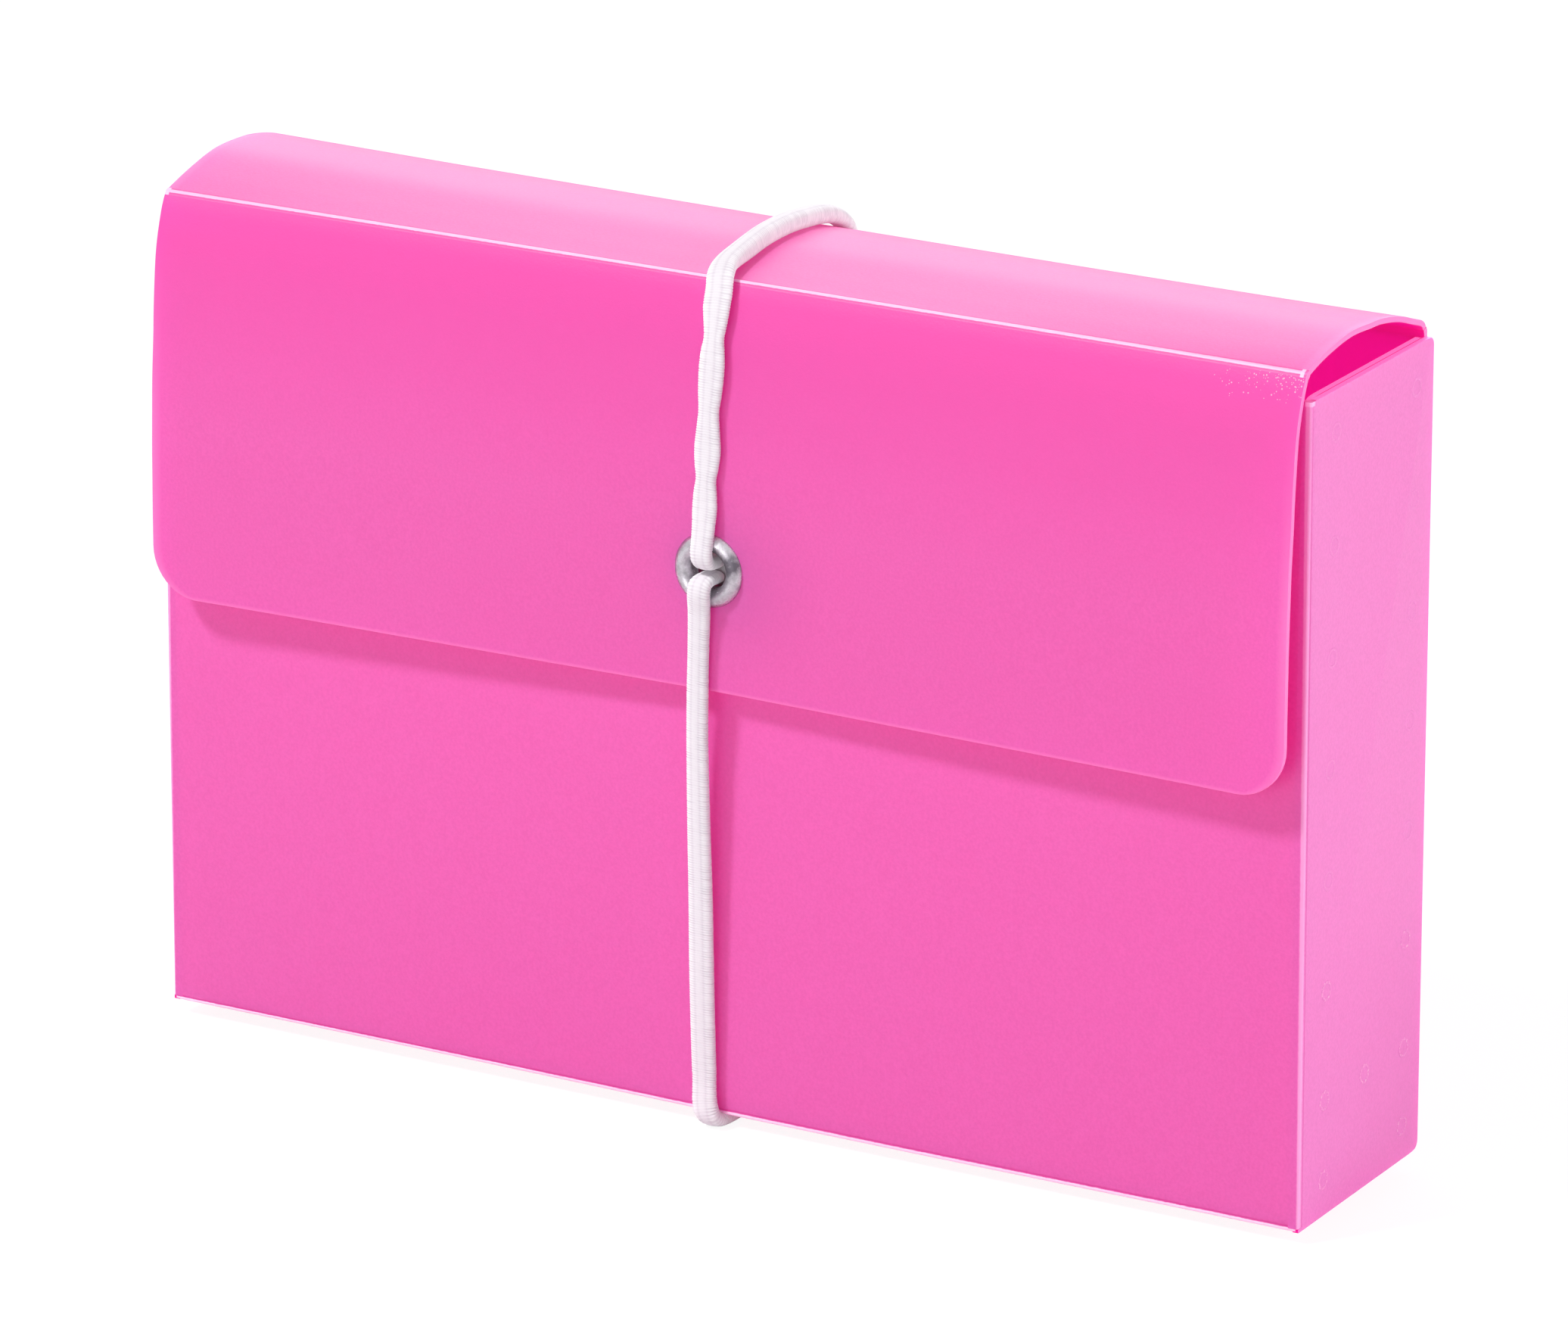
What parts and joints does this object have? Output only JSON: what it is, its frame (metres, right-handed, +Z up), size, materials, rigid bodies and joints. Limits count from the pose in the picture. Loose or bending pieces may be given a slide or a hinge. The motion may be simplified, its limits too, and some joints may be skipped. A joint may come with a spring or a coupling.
{
  "type": "index card box",
  "caption": "Slim upright box for index cards, folded from one sheet of translucent plastic, with a domed lid, a closure flap and an elastic cord through an eyelet.",
  "frame": {"origin": "under the middle of the whole object, at the level it stands on, which is the underside of the cord", "axes": "+X along the box's long edge, to the right as seen from the front; +Y from the front with the flap to the back; +Z up"},
  "size_m": [0.14, 0.035, 0.0989],
  "materials": {
    "front_sheet": "translucent polypropylene sheet, fine matte grain",
    "side_sheet": "translucent polypropylene sheet, fine matte grain, paler where it is lit from the side",
    "inside_sheet": "translucent polypropylene sheet, fine matte grain",
    "scored_crease": "scored and folded sheet, whitened along the score",
    "lid_sheet": "translucent polypropylene sheet, lit through from above",
    "flap_sheet": "translucent polypropylene sheet, fine matte grain",
    "nickel": "pressed metal, nickel plated",
    "clamp_steel": "plain pressed steel",
    "elastic_cord": "white braided elastic"
  },
  "bodies": {
    "case": {"front_wall": "front_sheet", "bottom_panel": "front_sheet", "back_wall": "front_sheet", "side_wing_left": "side_sheet", "side_wing_right": "side_sheet", "inner_tab_left": "inside_sheet", "inner_tab_right": "inside_sheet", "bottom_tab_left": "inside_sheet", "bottom_tab_right": "inside_sheet", "crease_front_bottom": "scored_crease", "crease_back_bottom": "scored_crease", "crease_front_left": "scored_crease", "crease_front_right": "scored_crease", "crease_back_left": "scored_crease", "crease_back_right": "scored_crease", "crease_bottom_left": "scored_crease", "crease_bottom_right": "scored_crease", "lid_hinge_crease": "scored_crease", "elastic_back_strand": "elastic_cord", "elastic_bottom_strand": "elastic_cord"},
    "lid": {"lid_panel": "lid_sheet", "flap_hinge_crease": "scored_crease", "elastic_over_lid": "elastic_cord"},
    "flap": {"closure_flap": "flap_sheet", "eyelet": "nickel", "eyelet_washer": "nickel", "elastic_upper_strand": "elastic_cord", "elastic_lower_strand": "elastic_cord", "elastic_clamp": "clamp_steel"}
  },
  "joints": [
    {"name": "lid_hinge", "type": "hinge", "parent": "case", "child": "lid", "pos_m": [0, 0.0159, 0.0929], "axis": [-1, 0, 0], "range_deg": [0, 180], "deforming": ["lid_hinge_crease", "elastic_over_lid", "elastic_back_strand"]},
    {"name": "flap_hinge", "type": "hinge", "parent": "lid", "child": "flap", "pos_m": [0, -0.01155, 0.09497], "axis": [-1, 0, 0], "range_deg": [0, 90], "deforming": ["flap_hinge_crease", "elastic_upper_strand", "elastic_lower_strand"]}
  ]
}
